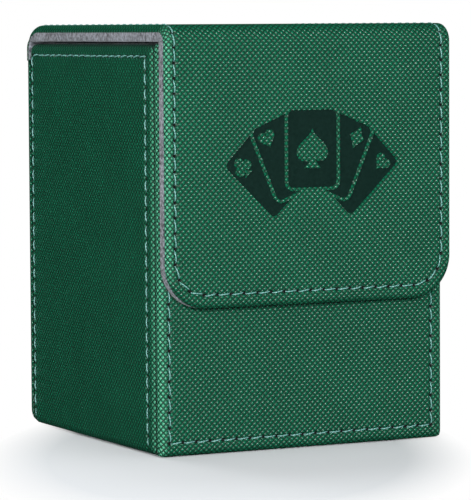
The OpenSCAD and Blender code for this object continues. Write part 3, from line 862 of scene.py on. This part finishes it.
sheet.points[:, 2] = -SHELL - LINER - sheet.points[:, 2]
for name, start, end in (
        ("lid_lining", V_LID, V_FOLD), ("fold_lining", V_FOLD, V_FLAP),
        ("flap_lining", V_FLAP, None)):
    part = cut_out(sheet, start, end)
    piece = make_piece(name + "_cloth", bend_strip(part.points, 1), part.faces, microfibre, part.uv)
    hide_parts(name)
    if name == "fold_lining":
        # It hardly reaches round the inside of the fold, and stretches as the flap is opened
        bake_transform(piece)
    else:
        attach(piece, name.split("_")[0])
over_rim = [(HINGE_Y, RIM_BEND[1] + UNDER_R)] + arc_points(RIM_BEND, UNDER_R, 90, 0)
over_rim += [(RIM_BEND[0] + UNDER_R, TAIL_Z), (HINGE_Y + OVER_R, TAIL_Z)]
over_rim += arc_points((HINGE_Y, OVER_Z), OVER_R, 0, 90, 15)
half = WIDTH / 2 - SHORT
piece = lining_strip("hinge_lining", over_rim, -half, half, Y, Z, X, step=FINE)
# It goes over from the box to the lid between two rows of points, as the leatherette does
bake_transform(piece)

# Stitching. Pale teal polyester thread of two plies is lock-stitched through face and hem. Each
# stitch rises out of one needle hole and dives into the next, lying a little aslant.
STRAND, STRAND_POINTS, PLY_FLAT, STRAY = 0.4, 13, 0.7, 0.06
thread, tree = new_finish("polyester_thread")
place = add(tree, "ShaderNodeTexCoord").outputs["Object"]
plies = noise(tree, place, 0.3, 3)
surface(tree, {
    "Base Color": mixed(tree, plies, linear("#39716C"), linear("#80B2AC")),
    "Normal": bumped(tree, plies, 0.05), "Roughness": 0.35})

sewing = bpy.data.node_groups.new("sewn_stitches", "GeometryNodeTree")
sewing.interface.new_socket("Geometry", in_out="OUTPUT", socket_type="NodeSocketGeometry")
sewing.interface.new_socket("Geometry", in_out="INPUT", socket_type="NodeSocketGeometry")
sizes = {
    "Stitch": ("NodeSocketFloat", STITCH * MM), "Thread": ("NodeSocketFloat", 0.4 * MM),
    "Rise": ("NodeSocketFloat", 0.0), "Dive": ("NodeSocketFloat", 0.6 * MM),
    "Slant": ("NodeSocketFloat", math.radians(8)), "Turns": ("NodeSocketFloat", 2.5),
    "Seed": ("NodeSocketInt", 7), "Material": ("NodeSocketMaterial", thread)}
for name, (kind, value) in sizes.items():
    sewing.interface.new_socket(name, in_out="INPUT", socket_type=kind)
given = add(sewing, "NodeGroupInput").outputs
# The strand stops short of the middle of its holes, so that they stay open
half = calc(sewing, "MULTIPLY", given["Stitch"], STRAND)
tail = add(sewing, "ShaderNodeCombineXYZ", {"X": calc(sewing, "MULTIPLY", half, -1.0)})
head = add(sewing, "ShaderNodeCombineXYZ", {"X": half})
line = add(sewing, "GeometryNodeCurvePrimitiveLine", {
    "Start": tail.outputs[0], "End": head.outputs[0]})
beads = add(sewing, "GeometryNodeResampleCurve", {
    "Curve": line.outputs[0], "Count": STRAND_POINTS}, mode="COUNT")
spot = add(sewing, "GeometryNodeInputPosition").outputs[0]
spot = add(sewing, "ShaderNodeSeparateXYZ", {"Vector": spot})
share = calc(sewing, "ABSOLUTE", calc(sewing, "DIVIDE", spot.outputs["X"], half))
sunk = calc(sewing, "MULTIPLY", calc(sewing, "POWER", share, 3.0), given["Dive"])
lifted = add(sewing, "ShaderNodeCombineXYZ", {"Z": calc(sewing, "SUBTRACT", given["Rise"], sunk)})
bow = add(sewing, "GeometryNodeSetPosition", {
    "Geometry": beads.outputs[0], "Offset": lifted.outputs[0]})
twist = calc(sewing, "DIVIDE", spot.outputs["X"], given["Stitch"])
twist = calc(sewing, "MULTIPLY", calc(sewing, "MULTIPLY", twist, given["Turns"]), 2 * math.pi)
twisted = add(sewing, "GeometryNodeSetCurveTilt", {"Curve": bow.outputs[0], "Tilt": twist})
radius = calc(sewing, "MULTIPLY", given["Thread"], 0.5)
round_ply = add(sewing, "GeometryNodeCurvePrimitiveCircle", {"Resolution": 8, "Radius": radius})
two_ply = add(sewing, "GeometryNodeTransform", {
    "Geometry": round_ply.outputs[0], "Scale": (1, PLY_FLAT, 1)})
strand = add(sewing, "GeometryNodeCurveToMesh", {
    "Curve": twisted.outputs[0], "Profile Curve": two_ply.outputs[0], "Fill Caps": True})
ways = {}
for key in ("along", "out"):
    read = add(sewing, "GeometryNodeInputNamedAttribute", {"Name": key}, data_type="FLOAT_VECTOR")
    ways[key] = read.outputs[0]
facing = add(
    sewing, "FunctionNodeAxesToRotation", {0: ways["along"], 1: ways["out"]},
    primary_axis="X", secondary_axis="Z")
stray = add(sewing, "FunctionNodeRandomValue", {
    2: -STRAY, 3: STRAY, "Seed": given["Seed"]}, data_type="FLOAT")
lean = calc(sewing, "ADD", given["Slant"], stray.outputs[1])
aside = add(sewing, "FunctionNodeAxisAngleToRotation", {"Axis": (0, 0, 1), "Angle": lean})
laid = add(sewing, "FunctionNodeRotateRotation", {
    0: facing.outputs[0], 1: aside.outputs[0]}, rotation_space="LOCAL")
reach = add(sewing, "ShaderNodeVectorMath", {0: ways["along"]}, operation="LENGTH").outputs["Value"]
reach = calc(sewing, "DIVIDE", reach, given["Stitch"])
stretch = add(sewing, "ShaderNodeCombineXYZ", {"X": reach, "Y": 1.0, "Z": 1.0})
row = add(sewing, "GeometryNodeInstanceOnPoints", {
    "Points": given["Geometry"], "Instance": strand.outputs[0], "Rotation": laid.outputs[0],
    "Scale": stretch.outputs[0]})
solid = add(sewing, "GeometryNodeRealizeInstances", {"Geometry": row.outputs[0]})
smooth = add(sewing, "GeometryNodeSetShadeSmooth", {"Geometry": solid.outputs[0]})
coloured = add(sewing, "GeometryNodeSetMaterial", {
    "Geometry": smooth.outputs[0], "Material": given["Material"]})
add(sewing, "NodeGroupOutput", {"Geometry": coloured.outputs[0]})
inputs = [item for item in sewing.interface.items_tree if item.in_out == "INPUT"]
keys = {item.name: item.identifier for item in inputs}


def sew(name, middles, along, out):
    """A row of stitches as a plain mesh, from where each lies, how it runs and which way is out."""
    mesh = bpy.data.meshes.new(name)
    mesh.from_pydata(middles * MM, [], [])
    for key, value in (("along", along * MM), ("out", out)):
        kept = mesh.attributes.new(key, "FLOAT_VECTOR", "POINT")
        kept.data.foreach_set("vector", value.astype(np.float32).ravel())
    piece = bpy.data.objects.new(name, mesh)
    scene.collection.objects.link(piece)
    row = piece.modifiers.new("sewn", "NODES")
    row.node_group = sewing
    for key, (kind, value) in sizes.items():
        row[keys[key]] = value
    worked = piece.evaluated_get(bpy.context.evaluated_depsgraph_get())
    sewn = bpy.data.meshes.new_from_object(worked)
    piece.modifiers.clear()
    piece.data = sewn
    return piece


for node, (starts, ends, out) in stitch_rows.items():
    name = node.replace("skin", "stitches")
    piece = sew(name, (starts + ends) / 2, ends - starts, np.tile(out, (len(starts), 1)))
    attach(piece, "box")
starts, ends = stitch_ends(cover_holes)
level_face = np.zeros(len(starts))
middle_v = (starts[:, 1] + ends[:, 1]) / 2
first = bend_strip(np.column_stack([starts, level_face]))
second = bend_strip(np.column_stack([ends, level_face]))
on_bend = bend_strip(np.column_stack([(starts + ends) / 2, level_face]))
middles = on_bend / 2 + (first + second) / 4
_, _, out_y, out_z = strip_line(middle_v)
outward = np.column_stack([level_face, out_y, out_z])
for name, start, end in (
        ("back", 0, CUT_BACK), ("hinge", CUT_BACK, CUT_LID), ("lid", CUT_LID, CUT_FOLD),
        ("fold", CUT_FOLD, CUT_FLAP), ("flap", CUT_FLAP, V_END)):
    chosen = (middle_v > start) & (middle_v <= end)
    piece = sew(name + "_stitches", middles[chosen], (second - first)[chosen], outward[chosen])
    if name == "hinge":
        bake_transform(piece)
    elif name == "fold":
        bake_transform(piece)
    else:
        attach(piece, "box" if name == "back" else name)

# Stage. A pale paper floor runs out to a white background. A small key light stands near the
# camera, a weaker one to the left, and two above, the one behind throwing a soft shadow forward.
# Its sizes are in metres.
POOL_AT, POOL_SIZE = (-0.022, -0.039, 0), (0.053, 0.1, 1)
HALFWAY_UP = Vector((0, 0, 0.05))
floor = bpy.data.meshes.new("floor")
floor.from_pydata([(-3, -3, 0), (3, -3, 0), (3, 3, 0), (-3, 3, 0)], [], [(0, 1, 2, 3)])
floor_piece = bpy.data.objects.new("floor", floor)
scene.collection.objects.link(floor_piece)
# The paper shows its shade round the box only, and stays out of the box's sheen
paper, tree = new_finish("floor_paper")
ray = add(tree, "ShaderNodeLightPath").outputs
place = {
    "Vector": add(tree, "ShaderNodeTexCoord").outputs["Object"], "Location": POOL_AT,
    "Rotation": (0, 0, -swing), "Scale": POOL_SIZE}
pool = add(tree, "ShaderNodeMapping", place, vector_type="TEXTURE").outputs[0]
pool = add(tree, "ShaderNodeVectorMath", {0: pool}, operation="LENGTH").outputs["Value"]
beyond = calc(tree, "MULTIPLY", carried(tree, pool, 0, 1, 0.8, 1.1), ray["Is Camera Ray"])
tint = mixed(tree, ray["Is Glossy Ray"], linear("#D6D9DC"), linear("#14171A"))
shade = add(tree, "ShaderNodeBsdfDiffuse", {"Color": tint}).outputs[0]
glow = add(tree, "ShaderNodeEmission", {"Color": (1, 1, 1, 1)}).outputs[0]
shown = add(tree, "ShaderNodeMixShader", {0: beyond, 1: shade, 2: glow}).outputs[0]
add(tree, "ShaderNodeOutputMaterial", {"Surface": shown})
floor.materials.append(paper)

world = bpy.data.worlds.new("studio")
scene.world = world
world.use_nodes = True
tree = world.node_tree
tree.nodes.clear()
ray = add(tree, "ShaderNodeLightPath").outputs
dim = carried(tree, ray["Is Glossy Ray"], 0.15, 0.01)
sky = {"Color": (1, 1, 1, 1), "Strength": carried(tree, ray["Is Camera Ray"], dim, 1.0)}
sky = add(tree, "ShaderNodeBackground", sky)
add(tree, "ShaderNodeOutputWorld", {"Surface": sky.outputs["Background"]})


def softbox(name, azimuth, rise, size, power, glints=False):
    """A square lamp 1 m from the box, by its angles from the front, to the left, and from level."""
    lamp = bpy.data.lights.new(name, "AREA")
    lamp.shape, lamp.size, lamp.energy = "SQUARE", size, power
    box = bpy.data.objects.new(name, lamp)
    turn, lift = math.radians(azimuth), math.radians(rise)
    flat = math.cos(lift)
    way = Vector((-math.sin(turn) * flat, -math.cos(turn) * flat, math.sin(lift)))
    box.location = way + HALFWAY_UP
    box.rotation_euler = way.to_track_quat("Z", "Y").to_euler()
    box.visible_glossy = glints
    scene.collection.objects.link(box)


softbox("key", 14, 14, 0.2, 9.8, glints=True)
softbox("left", 62, 14, 0.4, 5.8, glints=True)
softbox("top", 0, 75, 0.7, 3.0)
softbox("rear", 190, 53, 0.8, 6.8)

scene.view_settings.view_transform = "Standard"
